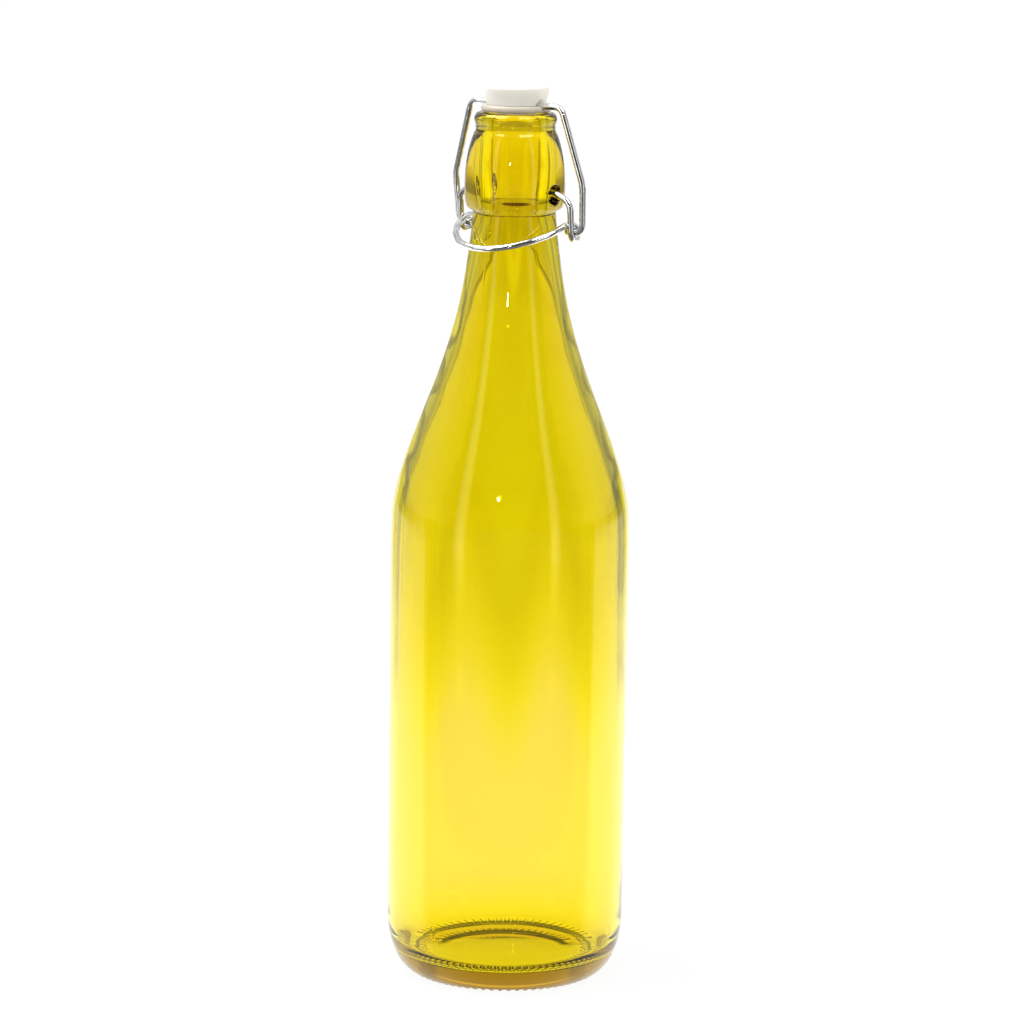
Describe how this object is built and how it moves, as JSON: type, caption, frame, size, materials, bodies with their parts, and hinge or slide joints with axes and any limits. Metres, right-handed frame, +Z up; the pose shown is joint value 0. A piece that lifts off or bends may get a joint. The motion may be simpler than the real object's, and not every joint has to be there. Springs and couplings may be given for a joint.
{
  "type": "swing-top growler bottle",
  "caption": "Round yellow glass growler with a long tapered neck and a wire swing-top closure that clamps a white stopper and gasket on its mouth.",
  "frame": {"origin": "centre of the ring the bottle stands on, in the plane it stands on", "axes": "+Z up the bottle; X along the lever's pin axis; the closure's handle is on the -Y side when closed"},
  "size_m": [0.085, 0.085, 0.3194],
  "materials": {
    "yellow_glass": "clear yellow moulded glass, glossy",
    "white_plastic": "slightly translucent white plastic, satin",
    "silicone": "pale translucent silicone rubber, soft satin",
    "bright_wire": "bright drawn and plated steel wire"
  },
  "bodies": {
    "bottle": {"glass_bottle": "yellow_glass"},
    "lever": {"locking_lever": "bright_wire"},
    "bail": {"wire_bail": "bright_wire"},
    "cap": {"stopper": "white_plastic", "gasket": "silicone"}
  },
  "joints": [
    {"name": "lever_pivot", "type": "hinge", "parent": "bottle", "child": "lever", "pos_m": [0, 0, 0.2826], "axis": [-1, 0, 0], "range_deg": [0, 90]},
    {"name": "bail_pivot", "type": "hinge", "parent": "lever", "child": "bail", "pos_m": [0, 0.0035, 0.2689], "axis": [-1, 0, 0], "range_deg": [-63, 0]},
    {"name": "stopper_pivot", "type": "hinge", "parent": "bail", "child": "cap", "pos_m": [0, 0, 0.3125], "axis": [-1, 0, 0], "range_deg": [-29, 0]}
  ],
  "couplings": [
    {"joint": "bail_pivot", "follows": "lever_pivot", "ratio": -0.6858},
    {"joint": "stopper_pivot", "follows": "lever_pivot", "ratio": -0.3142}
  ]
}
